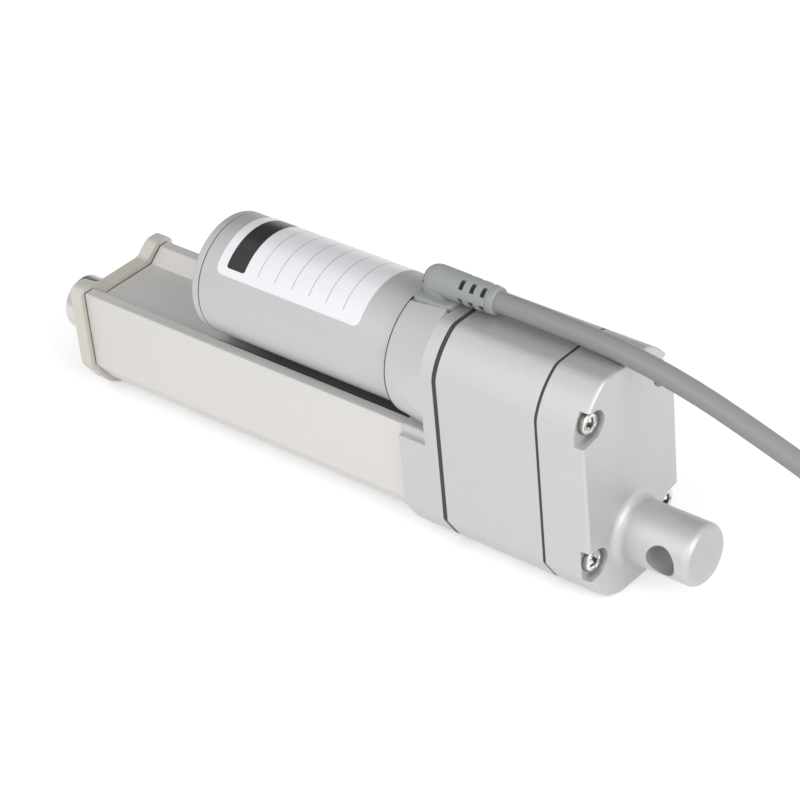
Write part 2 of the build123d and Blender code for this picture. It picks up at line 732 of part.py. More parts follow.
def make_end_bell():
    x1 = rotor_x[1]
    plate_x = can_end_x - end_bell_t
    body = rod_x(can_r - can_wall, plate_x, can_end_x, 0, motor_axis_z)
    body += ring_x(can_r - can_wall, commutator_r + brush_holder_gap, x1 + commutator_x[0], plate_x,
                   0, motor_axis_z)
    for block in make_brushes().children:
        b = block.bounding_box()
        body -= box_between((b.min.X, b.min.Y - 0.01, b.min.Z), (b.max.X, b.max.Y + 0.01, b.max.Z))
    return body - rod_x(bushing_r, plate_x - 1, can_end_x + 1, 0, motor_axis_z)


def make_motor_bushings():
    bore_r = motor_shaft_r + running
    front_w, rear_w = motor_bushing_w
    front = ring_x(bushing_r, bore_r, flange_end_x - front_w / 2, flange_end_x + front_w / 2, 0, motor_axis_z)
    rear = ring_x(bushing_r, bore_r, can_end_x - rear_w, can_end_x, 0, motor_axis_z)
    return Compound(children=[front, rear])


def make_motor_magnets():
    x0, x1 = rotor_x
    out = []
    for side in (0, 180):
        sector = Pos(0, 0, motor_axis_z) * Rot(side, 0, 0)
        half = magnet_arc / 2
        far = 2 * can_r
        arc = [polar(far, radians(a)) for a in (-half, half)]
        wedge = make_face(Polyline((0, 0), arc[0], (far, 0), arc[1], (0, 0)).edges())
        ends = (x0 - magnet_overhang, x1 + magnet_overhang)
        arc_body = slab(wedge, *ends) & ring_x(magnet_r[1], magnet_r[0], *ends)
        out.append(sector * arc_body)
    return Compound(children=out)


def make_motor_screws():
    out = []
    for side in (1, -1):
        y = side * motor_screw_y
        head_r, head_h = motor_screw_head
        head = rod_x(head_r, front_housing_x - head_h, front_housing_x, y, motor_axis_z)
        shank = rod_x(motor_screw_r, front_housing_x, flange_end_x + can_wall, y, motor_axis_z)
        out.append(head + shank)
    return Compound(children=out)


def make_motor_cover():
    return ring_x(cover_r, cover_r - cover_wall, cover_start_x, cover_end_x, 0, motor_axis_z)


def make_motor_cover_cap():
    x0 = cover_end_x + cover_seam
    body = rod_x(cover_r, x0, x0 + cover_cap_t, 0, motor_axis_z)
    body = fillet(edges_at_x(body, x0 + cover_cap_t), cover_cap_edge_r)
    body += rod_x(cover_r - cover_seam_depth, cover_end_x, x0 + 1, 0, motor_axis_z)
    spigot_wall, spigot_len = cover_cap_spigot
    return body + ring_x(cover_r - cover_wall, cover_r - spigot_wall, cover_end_x - spigot_len,
                         cover_end_x + 0.1, 0, motor_axis_z)


def make_label():
    inner = cover_r
    outer = cover_r + label_t
    a0, a1 = [radians(90 - a) for a in label_angles]
    middle = (a0 + a1) / 2
    outline = [
        ThreePointArc(polar(outer, a0), polar(outer, middle), polar(outer, a1)),
        Line(polar(outer, a1), polar(inner, a1)),
        ThreePointArc(polar(inner, a1), polar(inner, middle), polar(inner, a0)),
        Line(polar(inner, a0), polar(outer, a0)),
    ]
    return Pos(0, 0, motor_axis_z) * slab(make_face(outline), *label_x)


# limit switches beside the nut

def make_switch_board():
    return box_between((tube_start_x + 1, -channel_y, -channel_h / 2 + 0.2),
                       (tube_end_x - cap_spigot_len - 2, -channel_y + 1.0, channel_h / 2 - 0.2))


def make_limit_switches():
    out = []
    for x in (nut_start_x - 1, nut_start_x + stroke + nut_len - 7):
        out.append(box_between((x, -channel_y + 1.0, -3), (x + 8, -nut_r - 0.4, 3)))
    return Compound(children=out)


# strain relief and cable

def make_strain_relief():
    plate = box_between((foot_x[0], -foot_half_y, foot_seat_z),
                        (foot_x[1], foot_half_y, foot_seat_z + foot_t))
    plate = fillet(plate.edges().filter_by(Axis.Z), foot_corner_r)
    stub = Pos(boot_stub_x, 0, foot_seat_z) * Cylinder(
        boot_stub_r, boot_axis_z - foot_seat_z, align=(Align.CENTER, Align.CENTER, Align.MIN))
    body = plate + stub + Pos(boot_stub_x, 0, boot_axis_z) * Sphere(boot_stub_r)
    body += cone_x(boot_neck_r, boot_root_r, boot_end_x, boot_stub_x, 0, boot_axis_z)
    body += rod_x(boot_ring_r, boot_end_x, boot_end_x + boot_ring_len, 0, boot_axis_z)
    groove_x = boot_end_x + boot_ring_len
    body -= ring_x(boot_ring_r + 1, boot_groove[1], groove_x, groove_x + boot_groove[0], 0, boot_axis_z)
    for i in range(3):
        slot_x = boot_end_x + slot_first + slot_pitch * i
        for side in (1, -1):
            turn = Pos(slot_x, 0, boot_axis_z) * Rot(side * slot_angle, 0, 0)
            body -= turn * Pos(0, side * (cable_r + slot_size[1] / 2), 0) * Box(*slot_size)
        notch_x = boot_end_x + notch_first + slot_pitch * i
        notch = Box(slot_size[0], *notch_size)
        body -= Pos(notch_x, 0, boot_axis_z - cable_r - notch_size[1] / 2) * notch
    return body


def cable_points():
    return [
        (boot_end_x, 0, boot_axis_z), (29, 0, 63.4), (-3, 0, 58.8), (-31, -1.5, 48.5),
        (-55, -4, 37), (-80, -8, 22), (-105, -15, 5), (-128, -22, -5),
        (hank_far_x, hank_y - hank_bend_r - cable_r, floor_z + hank_lift + 1.37 * cable_d),
    ]


def tail_points():
    # from the innermost strand into the open middle of the hank
    return [(-150, 17, -15.1), (-135, 14.5, -15.2), (-121, 5.5, -15.9), (-107, 0, -16.2), (-93, 0, -16.2)]


def cable_tube(points):
    corners = [Vector(*p) for p in points]
    radii = []
    for a, b, c in zip(corners, corners[1:], corners[2:]):
        turn = radians((b - a).get_angle(c - b))
        radii.append(0.45 * min((b - a).length, (c - b).length) / tan(turn / 2))
    print("cable radii", [round(r, 1) for r in radii])
    path = FilletPolyline(*points, radius=radii)
    start = Plane(origin=path @ 0, z_dir=path % 0)
    body = sweep(start * Circle(cable_r), path=path)
    ratio = body.volume / (path.length * pi * cable_r ** 2)
    print("cable length", round(path.length, 1), "volume ratio", round(ratio, 4))
    return body


def hank_band(r_in, r_out, z0, z1):
    # band with two straight sides and round ends, about the hank's middle line
    length = hank_near_x - hank_far_x
    outline = SlotCenterToCenter(length, 2 * r_out) - SlotCenterToCenter(length, 2 * r_in)
    middle_x = (hank_near_x + hank_far_x) / 2
    return Pos(middle_x, hank_y, z0) * extrude(outline, amount=z1 - z0)


def hank_levels():
    # underside of the strands, top of the lower layer, top of the upper strand
    low = floor_z + hank_lift
    return low, low + cable_d, low + 1.87 * cable_d + hank_hump


def make_cable_coil():
    low, middle, top = hank_levels()
    lower = hank_band(hank_bend_r - cable_r, hank_bend_r + 3 * cable_r, low, middle)
    return lower + hank_band(hank_bend_r, hank_bend_r + cable_d, middle - 1, top)


def make_cable_tie():
    x0 = hank_far_x - hank_bend_r - 3 * cable_r
    x1 = hank_far_x - hank_bend_r + cable_r
    top = hank_levels()[2]
    outer = box_between((x0 - tie_t, hank_y - tie_w / 2, floor_z),
                        (x1 + tie_t, hank_y + tie_w / 2, top + tie_t))
    inner = box_between((x0 - tie_gap, hank_y - tie_w, floor_z + tie_t - 0.1),
                        (x1 + tie_gap, hank_y + tie_w, top + 0.1))
    return outer - inner


def make_connector():
    x, y, z = tail_points()[-1]
    x0 = x + lead_len
    top = floor_z + connector_h
    start, length, half_w, height = connector_latch
    depth, width, high = connector_cavity
    body = box_between((x0, y - connector_half_y, floor_z), (x0 + connector_len, y + connector_half_y, top))
    body += box_between((x0 + start, y - half_w, top - 0.6), (x0 + start + length, y + half_w, top + height))
    for side in (-cavity_pitch / 2, cavity_pitch / 2):
        body -= Pos(x0 + connector_len, y + side, floor_z + connector_h / 2) * Box(2 * depth, width, high)
    return body


def make_connector_leads():
    x, y, z = tail_points()[-1]
    sides = (-lead_pitch / 2, lead_pitch / 2)
    return Compound(children=[rod_x(lead_r, x + 0.1, x + lead_len, y + side, z) for side in sides])


def main():
    os.makedirs("parts", exist_ok=True)
    save("rear_cover", make_rear_cover())
    save("rear_gasket", ring_plate(rear_gasket_x, gear_housing_x))
    save("gear_housing", ring_plate(gear_housing_x, front_gasket_x))
    save("front_gasket", ring_plate(front_gasket_x, front_housing_x))
    save("front_housing", make_front_housing())
    save("cover_screws", make_cover_screws())
    save("outer_tube", make_outer_tube())
    save("front_cap", make_front_cap())
    save("front_cap_screws", make_front_cap_screws())
    save("cap_seal", make_cap_seal())
    save("rod_wiper", make_rod_wiper())
    save("rod_bushing", make_rod_bushing())
    save("extension_tube", make_extension_tube())
    save("rod_end", make_rod_end())
    save("drive_nut", make_drive_nut())
    save("lead_screw", make_lead_screw())
    save("bearing_outer_races", make_bearings(bearing_outer))
    save("bearing_inner_races", make_bearings(bearing_inner))
    save("output_gear", make_output_gear())
    save("gear_key", make_gear_key())
    save("gear_spacer", make_gear_spacer())
    save("idler_spacer", make_idler_spacer())
    save("idler_gear", make_idler_gear())
    save("idler_pin", rod_x(idler_pin_r, rear_gasket_x - idler_pin_grip[0],
                            front_housing_x + idler_pin_grip[1], 0, idler_z))
    save("motor_pinion", gear(motor_teeth, -pi / 2, motor_shaft_r, motor_pinion_x, motor_axis_z))
    save("motor_shaft", make_motor_shaft())
    save("rotor_core", make_rotor_core())
    save("rotor_windings", make_rotor_windings())
    save("commutator", make_commutator())
    save("motor_brushes", make_brushes())
    save("motor_end_bell", make_end_bell())
    save("motor_bushings", make_motor_bushings())
    save("motor_magnets", make_motor_magnets())
    save("motor_can", make_motor_can())
    save("motor_screws", make_motor_screws())
    save("motor_cover", make_motor_cover())
    save("motor_cover_cap", make_motor_cover_cap())
    save("label", make_label())
    save("limit_switch_board", make_switch_board())
    save("limit_switches", make_limit_switches())
    save("strain_relief", make_strain_relief())
    save("cable", cable_tube(cable_points()))
    save("cable_coil", make_cable_coil())
    save("cable_tie", make_cable_tie())
    save("cable_tail", cable_tube(tail_points()))
    save("connector", make_connector())
    save("connector_leads", make_connector_leads())


main()
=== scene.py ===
from math import cos, pi, radians, sin

import bmesh
import bpy
import numpy as np
from mathutils import Matrix, Quaternion, Vector


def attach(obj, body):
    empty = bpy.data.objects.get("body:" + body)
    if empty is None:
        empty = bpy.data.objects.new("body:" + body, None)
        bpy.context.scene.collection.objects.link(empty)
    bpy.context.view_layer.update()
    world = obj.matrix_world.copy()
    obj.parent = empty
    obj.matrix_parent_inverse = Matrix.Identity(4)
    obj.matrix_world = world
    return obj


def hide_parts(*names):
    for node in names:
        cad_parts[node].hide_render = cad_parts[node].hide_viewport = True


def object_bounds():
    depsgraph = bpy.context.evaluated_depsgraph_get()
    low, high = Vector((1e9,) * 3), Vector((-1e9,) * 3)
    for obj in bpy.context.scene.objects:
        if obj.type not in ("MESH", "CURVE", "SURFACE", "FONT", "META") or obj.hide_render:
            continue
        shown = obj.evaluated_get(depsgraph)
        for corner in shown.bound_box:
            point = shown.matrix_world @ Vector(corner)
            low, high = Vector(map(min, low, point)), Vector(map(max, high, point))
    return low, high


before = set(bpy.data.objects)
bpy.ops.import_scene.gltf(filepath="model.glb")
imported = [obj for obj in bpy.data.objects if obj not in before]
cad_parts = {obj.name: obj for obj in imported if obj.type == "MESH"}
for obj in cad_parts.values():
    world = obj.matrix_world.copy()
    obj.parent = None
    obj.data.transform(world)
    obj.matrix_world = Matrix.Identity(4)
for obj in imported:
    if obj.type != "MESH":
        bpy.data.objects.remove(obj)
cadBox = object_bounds()
mm = 0.001
floorZ = cadBox[0][2]                       # the housings, the front cap and the hank stand on it
scene = bpy.context.scene
print("frame loaded,", len(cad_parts), "nodes")


def placed(point):
    # a point in mm as a vector in metres
    return Vector([v * mm for v in point])


def added(name, data):
    piece = bpy.data.objects.new(name, data)
    scene.collection.objects.link(piece)
    return piece


# camera, at the photograph's viewing angle

cameraSet = {
    "position": (-399.5, 538.6, 509.2),     # mm
    "aim": (106.35, 0.0, 12.05),
    "roll": -5.64,                          # degrees about the line of sight
    "lens": 128.23, "sensor": 36.0,         # mm
    "clip": (0.01, 20.0),                   # m
}


def makeCamera():
    lens = bpy.data.cameras.new("camera")
    lens.lens, lens.sensor_width = cameraSet["lens"], cameraSet["sensor"]
    lens.clip_start, lens.clip_end = cameraSet["clip"]
    camera = added("camera", lens)
    position = placed(cameraSet["position"])
    facing = (placed(cameraSet["aim"]) - position).to_track_quat("-Z", "Y")
    roll = Quaternion((0, 0, 1), radians(cameraSet["roll"]))
    camera.matrix_world = Matrix.LocRotScale(position, facing @ roll, None)
    scene.camera = camera


makeCamera()
scene.view_settings.view_transform = "Standard"
print("camera set")


# shader maths: a socket that Python's operators extend with Math nodes

class Value:
    def __init__(self, nodes, socket):
        self.nodes, self.socket = nodes, socket

    def joined(self, operation, *others):
        made = self.nodes.node("ShaderNodeMath", {"operation": operation}, dict(enumerate(others)))
        return Value(self.nodes, made.outputs[0])

    def __add__(self, other): return self.joined("ADD", self, other)
    def __radd__(self, other): return self.joined("ADD", other, self)
    def __sub__(self, other): return self.joined("SUBTRACT", self, other)
    def __rsub__(self, other): return self.joined("SUBTRACT", other, self)
    def __mul__(self, other): return self.joined("MULTIPLY", self, other)
    def __rmul__(self, other): return self.joined("MULTIPLY", other, self)
    def __truediv__(self, other): return self.joined("DIVIDE", self, other)
    def __rtruediv__(self, other): return self.joined("DIVIDE", other, self)
    def __gt__(self, other): return self.joined("GREATER_THAN", self, other)
    def __lt__(self, other): return self.joined("LESS_THAN", self, other)
    def __abs__(self): return self.joined("ABSOLUTE", self)
    def atLeast(self, other): return self.joined("MAXIMUM", self, other)
    def atMost(self, other): return self.joined("MINIMUM", self, other)
    def root(self): return self.joined("SQRT", self)
    def angleTo(self, other): return self.joined("ARCTAN2", self, other)
    def share(self): return self.atLeast(0.0).atMost(1.0)          # held between 0 and 1
    def swing(self, amount): return (self - 0.5) * amount          # a noise about its middle


class Nodes:
    # one node tree, and the method that every node in it comes from
    def __init__(self, tree):
        self.tree = tree

    def node(self, kind, settings=None, inputs=None):
        made = self.tree.nodes.new(kind)
        for name, value in (settings or {}).items():
            setattr(made, name, value)
        for name, value in (inputs or {}).items():
            self.feed(made.inputs[name], value)
        return made

    def feed(self, socket, value):
        if isinstance(value, Value):
            value = value.socket
        if isinstance(value, bpy.types.NodeSocket):
            self.tree.links.new(value, socket)
        else:
            socket.default_value = value

    def seenBy(self, *rays):
        # 1 for these kinds of ray, 0 for the others
        path = self.node("ShaderNodeLightPath")
        seen, *others = [Value(self, path.outputs[ray]) for ray in rays]
        for ray in others:
            seen = seen.atLeast(ray)
        return seen


def shade(level, tint=(1, 1, 1)):
    return (level * tint[0], level * tint[1], level * tint[2], 1.0)


class Finish(Nodes):
    # one material and its Principled shader
    def __init__(self, name, **fixed):
        self.material = bpy.data.materials.new(name)
        self.material.use_nodes = True
        super().__init__(self.material.node_tree)
        self.shader = self.tree.nodes["Principled BSDF"]
        self.paint(**fixed)

    def place(self, *scale):
        # the point on the piece in metres, stretched by scale
        point = self.node("ShaderNodeTexCoord").outputs["Object"]
        if not scale:
            return point
        return self.node("ShaderNodeMapping", None, {"Vector": point, "Scale": scale}).outputs[0]

    def axes(self):
        split = self.node("ShaderNodeSeparateXYZ", None, {0: self.place()})
        return [Value(self, out) for out in split.outputs]

    def noise(self, scale, detail=2.0, stretch=(1, 1, 1)):
        made = self.node("ShaderNodeTexNoise", None,
                         {"Vector": self.place(*stretch), "Scale": scale, "Detail": detail})
        return Value(self, made.outputs[0])

    def mix(self, share, first, second):
        made = self.node("ShaderNodeMix", {"data_type": "RGBA"}, {0: share, 6: first, 7: second})
        return made.outputs[2]

    def shaded(self, light, level, spread, tint=(1, 1, 1)):
        # the level less its spread where light is 0, and with its spread where light is 1
        return self.mix(light, shade(level * (1 - spread), tint), shade(level * (1 + spread), tint))

    def bump(self, height, depth, soft=0.0):
        # depth in mm for a height of 1; soft rounds the edges by that radius in mm
        inputs = {"Height": height, "Distance": depth * mm, "Strength": 1.0}
        if soft:
            rounded = self.node("ShaderNodeBevel", {"samples": 6}, {"Radius": soft * mm})
            inputs["Normal"] = rounded.outputs[0]
        self.feed(self.shader.inputs["Normal"], self.node("ShaderNodeBump", None, inputs).outputs[0])

    def paint(self, **links):
        for socket, value in links.items():
            self.feed(self.shader.inputs[socket.replace("_", " ")], value)
        return self


# finishes: noise scales are per metre, depths and soft edges in mm

silverLook = {"orange": 0.22, "mottle": 35.0, "flakeShade": 0.20, "mottleShade": 0.05, "spread": 0.28,
              "gloss": 0.10, "flakeHeight": 0.6}
castSilver = {"shade": 0.56, "tint": (0.995, 0.995, 1.01), "metal": 0.76, "rough": 0.53,
              "grain": 2600.0, "depth": 0.034, "soft": 0.25}
motorSilver = {"shade": 0.53, "tint": (0.995, 1, 1.005), "metal": 0.68, "rough": 0.5,
               "grain": 4600.0, "depth": 0.010, "soft": 0.2}
capSilver = {"shade": 0.58, "tint": (1.03, 1.0, 0.90), "metal": 0.45, "rough": 0.5,
             "grain": 4200.0, "depth": 0.010, "soft": 0.3}


def silverPaint(name, look):
    # sprayed silver: fine flakes change its lightness, and a slow mottle changes the gloss
    finish = Finish(name)
    flakes = finish.noise(look["grain"], 1.0)
    orange = finish.noise(look["grain"] * silverLook["orange"])
    mottle = finish.noise(silverLook["mottle"], 3.0)
    light = flakes.swing(silverLook["flakeShade"]) + mottle.swing(silverLook["mottleShade"]) + 0.5
    gloss = look["rough"] + mottle.swing(silverLook["gloss"]) + orange.swing(silverLook["gloss"])
    finish.paint(Base_Color=finish.shaded(light, look["shade"], silverLook["spread"], look["tint"]),
                 Metallic=look["metal"], Roughness=gloss)
    finish.bump(flakes * silverLook["flakeHeight"] + orange, look["depth"], look["soft"])
    return finish.material


tubeLook = {
    "shade": 0.635, "tint": (1.025, 1.0, 0.975), "metal": 0.55, "rough": 0.5,
    "lines": 2600.0, "lineStretch": 0.006, "etch": 3800.0, "slow": 22.0, "slowStretch": 0.15,
    "lineShade": 0.16, "slowShade": 0.08, "spread": 0.2, "gloss": 0.12,
    "etchHeight": 0.5, "depth": 0.006, "soft": 0.2,
    "gapShadeX": 224.8, "gapPaintedShade": 0.06,      # painted shade line in the gap against the front cap, mm
    # painted shade in the trough under the motor: its span in x, its bounds and how dark it gets
    "motorShadowSpan": (150.0, 172.0), "troughY": 15.6, "troughZ": 16.8, "troughPaintedShade": 0.42,
}


def anodisedTube():
    # matt etched and anodised: faint draw lines run along the extrusion
    look = tubeLook
    finish = Finish("tubeAnodised")
    lines = finish.noise(look["lines"], 2.0, (look["lineStretch"], 1, 1))
    etch = finish.noise(look["etch"], 1.0)
    slow = finish.noise(look["slow"], 2.0, (look["slowStretch"], 1, 1))
    light = lines.swing(look["lineShade"]) + slow.swing(look["slowShade"]) + 0.5
    skin = finish.shaded(light, look["shade"], look["spread"], look["tint"])
    x, y, z = finish.axes()
    # painted shade: the trough is darkened where the motor above would shade it, fading in along x over the
    # given span
    start, end = look["motorShadowSpan"]
    motorShadow = ((end * mm - x) / ((end - start) * mm)).share()
    motorShadow = motorShadow.atMost(abs(y) < look["troughY"] * mm).atMost(z > look["troughZ"] * mm)
    skin = finish.mix(motorShadow, skin, shade(look["shade"] * look["troughPaintedShade"]))
    # painted shade: a thin dark band on the tube in the gap against the front cap
    gapShadeMask = x > look["gapShadeX"] * mm
    finish.paint(Base_Color=finish.mix(gapShadeMask, skin, shade(look["gapPaintedShade"])),
                 Metallic=look["metal"], Roughness=look["rough"] + lines.swing(look["gloss"]))
    finish.bump(lines + etch * look["etchHeight"], look["depth"], look["soft"])
    return finish.material


rubberLook = {"grain": 2600.0, "slow": 60.0, "swing": 0.3, "spread": 0.15, "gloss": 0.15,
              "depth": 0.01, "soft": 0.15}


def rubberSkin(finish, level, rough, tint):
    # moulded elastomer or nylon with a faint spark-eroded grain; what it returns is the colour
    grains, slow = finish.noise(rubberLook["grain"]), finish.noise(rubberLook["slow"])
    light = grains.swing(rubberLook["swing"]) + slow.swing(rubberLook["swing"]) + 0.5
    finish.paint(Roughness=rough + slow.swing(rubberLook["gloss"]))
    finish.bump(grains, rubberLook["depth"], rubberLook["soft"])
    return finish.shaded(light, level, rubberLook["spread"], tint)


def rubber(name, level, rough, tint=(1, 1, 1)):
    finish = Finish(name)
    return finish.paint(Base_Color=rubberSkin(finish, level, rough, tint)).material


metalLook = {"rings": 5200.0, "stretch": 0.02, "slow": 90.0, "ringShade": 0.3, "slowShade": 0.1,
             "spread": 0.12, "ringGloss": 0.14, "slowGloss": 0.06, "depth": 0.003, "soft": 0.12}


def turnedMetal(name, level, rough, tint=(1, 1, 1), **own):
    # turned or ground round bar: fine rings about the X axis; own holds what differs from metalLook
    look = {**metalLook, **own}
    finish = Finish(name)
    rings = finish.noise(look["rings"], 1.0, (1, look["stretch"], look["stretch"]))
    slow = finish.noise(look["slow"])
    light = rings.swing(look["ringShade"]) + slow.swing(look["slowShade"]) + 0.5
    gloss = rough + rings.swing(look["ringGloss"]) + slow.swing(look["slowGloss"])
    finish.paint(Base_Color=finish.shaded(light, level, look["spread"], tint), Metallic=1.0, Roughness=gloss)
    finish.bump(rings, look["depth"], look["soft"])
    return finish.material


leadLook = {"grain": 2600.0, "red": 0.30, "redTint": (1.0, 0.08, 0.06), "redSpread": 0.1,
            "black": 0.02, "blackSpread": 0.2, "rough": 0.36, "gloss": 0.1, "depth": 0.004}


def leadPvc():
    # insulation of the two leads, one red and one black, told apart by their side of the connector
    look = leadLook
    finish = Finish("leadPvc")
    grains = finish.noise(look["grain"])
    x, y, z = finish.axes()
    red = finish.shaded(grains, look["red"], look["redSpread"], look["redTint"])
    black = finish.shaded(grains, look["black"], look["blackSpread"])
    finish.paint(Base_Color=finish.mix(y > 0.0, black, red),
                 Roughness=look["rough"] + grains.swing(look["gloss"]))
    finish.bump(grains, look["depth"])
    return finish.material


finishes = {
    "castSilver": silverPaint("castSilver", castSilver),
    "motorSilver": silverPaint("motorSilver", motorSilver),
    "capSilver": silverPaint("capSilver", capSilver),
    "tubeAnodised": anodisedTube(),
    "leadPvc": leadPvc(),
    "gasketBlack": rubber("gasketBlack", 0.035, 0.65),
    "nylonBlack": rubber("nylonBlack", 0.02, 0.42),
    "nylonNatural": rubber("nylonNatural", 0.72, 0.4, (1.0, 0.98, 0.91)),
    "carbonBlack": rubber("carbonBlack", 0.03, 0.7),
    "acetalWhite": rubber("acetalWhite", 0.75, 0.38, (1.0, 0.99, 0.95)),
    "boardGreen": rubber("boardGreen", 0.10, 0.3, (0.3, 1.0, 0.45)),
    "ferriteGrey": rubber("ferriteGrey", 0.10, 0.6),
    "zincSteel": turnedMetal("zincSteel", 0.60, 0.16, (1.0, 0.985, 0.93), depth=0.001),
    "groundSteel": turnedMetal("groundSteel", 0.64, 0.26, (1.0, 0.99, 0.95)),
    "gearSteel": turnedMetal("gearSteel", 0.50, 0.36),
    "raceSteel": turnedMetal("raceSteel", 0.70, 0.16, depth=0.001),
    "bronze": turnedMetal("bronze", 0.56, 0.4, (1.0, 0.74, 0.42)),
    "copper": turnedMetal("copper", 0.62, 0.3, (1.0, 0.52, 0.30)),
    "canSteel": turnedMetal("canSteel", 0.62, 0.3),
    "rotorSteel": turnedMetal("rotorSteel", 0.34, 0.4, rings=2000.0, depth=0.02),
}


# meshes from numpy grids

mergeGap = 0.002                            # mm; points closer than this become one


def gridPart(points, wrap=True):
    # points: array (rows, columns, 3) in mm; wrap joins the last column to the first
    rows, columns = points.shape[:2]
    index = np.arange(rows * columns).reshape(rows, columns)
    if wrap:
        index = np.hstack([index, index[:, :1]])
    quads = np.stack([index[:-1, :-1], index[1:, :-1], index[1:, 1:], index[:-1, 1:]], axis=-1)
    return points.reshape(-1, 3), quads.reshape(-1, 4)


def gridPiece(name, parts, finish):
    # one object from several grids; doubles are merged, so rows that shrink to a point become poles
    counts = np.cumsum([0] + [len(points) for points, quads in parts])
    points = np.vstack([points for points, quads in parts]) * mm
    quads = np.vstack([part[1] + start for part, start in zip(parts, counts)])
    mesh = bpy.data.meshes.new(name)
    mesh.from_pydata(points.tolist(), [], quads.tolist())
    work = bmesh.new()
    work.from_mesh(mesh)
    bmesh.ops.remove_doubles(work, verts=work.verts, dist=mergeGap * mm)
    bmesh.ops.recalc_face_normals(work, faces=work.faces)
    work.to_mesh(mesh)
    work.free()
    mesh.polygons.foreach_set("use_smooth", np.ones(len(mesh.polygons), dtype=bool))
    mesh.materials.append(finishes[finish])
    return added(name, mesh)


def ease(value, edge):
    # smooth step from 0 to 1 while value goes from 0 to edge
    share = np.clip(value / edge, 0, 1)
    return share * share * (3 - 2 * share)


def fullTurn(steps):
    return np.linspace(0, 2 * pi, steps, endpoint=False)


def quarterTurn(steps):
    return np.linspace(0, pi / 2, steps)


def aboutX(along, reach, angle, axisZ):
    # points at x = along, at the distance reach from the axis y = 0, z = axisZ
    return np.stack([np.broadcast_to(along[:, None], reach.shape), reach * np.cos(angle),
                     axisZ + reach * np.sin(angle)], axis=-1)


# pan head screws with cross recesses

screwSet = {
    "radius": 3.7, "height": 2.6, "crown": 0.55, "edge": 1.15,     # mm
    "armLength": 2.45, "armEnd": 1.1, "armWidth": 1.05, "armDepth": 1.9, "slope": 0.28,
    "rings": 46, "edgeRings": 10, "around": 96,
    "rear": {"y": (16.5, 18.2), "z": (46.3, -1.7), "baseX": 19.6, "turns": (24, 51, 70, 12)},
    "front": {"y": (15.8, 14.6), "z": (15.4, -9.0), "baseX": 227.4, "turns": (8, 63, 35, 80)},
    "crownX": (17.0, 230.0), "shadeStartDepth": 0.75, "fade": 0.5,     # where the painted shade in the recess begins, and how fast it fades in
    "shade": 0.74, "tint": (1.0, 0.985, 0.93), "spread": 0.2, "recessPaintedShade": 0.30,
    "rough": 0.17, "gloss": 0.1, "darkRough": 0.3, "slow": 900.0, "depth": 0.002, "soft": 0.08,
}


def screwZinc():
    # bright zinc on the heads; the cross recess and the root of the head are duller and carry painted shade
    look = screwSet
    finish = Finish("screwZinc")
    slow = finish.noise(look["slow"])
    x, y, z = finish.axes()
    rearCrown, frontCrown = look["crownX"]
    sunk = abs(x - rearCrown * mm).atMost(abs(x - frontCrown * mm))
    # painted shade: 0 near the crown, 1 deep in the cross recess and round the head's root
    dark = ((sunk - look["shadeStartDepth"] * mm) / (look["fade"] * mm)).share()
    skin = finish.shaded(slow, look["shade"], look["spread"], look["tint"])
    skin = finish.mix(dark, skin, shade(look["shade"] * look["recessPaintedShade"], look["tint"]))
    finish.paint(Base_Color=skin, Metallic=1.0,
                 Roughness=look["rough"] + slow.swing(look["gloss"]) + dark * look["darkRough"])
    finish.bump(slow, look["depth"], look["soft"])
    return finish.material


def screwHead(baseX, y, z, facing, turn):
    # crowned disc: height falls with the square of the radius, a quarter round joins it to the side,
    # and two crossed arms with sloping walls are pressed into the crown
    look = screwSet
    top, radius, edge = look["height"], look["radius"], look["edge"]
    flat, low = radius - edge, top - look["crown"]
    rho = np.linspace(0, flat, look["rings"])
    height = top - look["crown"] * (rho / flat) ** 2
    bend = quarterTurn(look["edgeRings"])[1:]
    rho = np.concatenate([rho, flat + edge * np.sin(bend), [radius, 0.0]])
    height = np.concatenate([height, low - edge + edge * np.cos(bend), [0.0, 0.0]])
    angle = fullTurn(look["around"])
    u, v = rho[:, None] * np.cos(angle), rho[:, None] * np.sin(angle)
    arms = []
    for a, b in ((u, v), (v, u)):
        across = ease(look["armWidth"] / 2 + look["slope"] - np.abs(a), look["slope"])
        arms.append(across * ease(look["armLength"] - np.abs(b), look["armEnd"]))
    recess = np.maximum(*arms) * look["armDepth"]
    recess[-2:] = 0
    x = baseX + facing * (height[:, None] - recess)
    spin = radians(turn)
    points = [x, y + u * cos(spin) - v * sin(spin), z + u * sin(spin) + v * cos(spin)]
    return gridPart(np.stack(points, axis=-1))


def makeScrews(name, place, facing, node):
    spots = [(side * y, z) for y, z in zip(place["y"], place["z"]) for side in (1, -1)]
    heads = [screwHead(place["baseX"], y, z, facing, turn) for (y, z), turn in zip(spots, place["turns"])]
    piece = gridPiece(name, heads, "screwZinc")
    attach(piece, "chassis")
    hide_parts(node)


finishes["screwZinc"] = screwZinc()
makeScrews("rear_screw_heads", screwSet["rear"], -1, "cover_screws")
makeScrews("front_screw_heads", screwSet["front"], 1, "front_cap_screws")
print("screw heads made")


# label: a rounded rectangle of film, wrapped round the motor cover

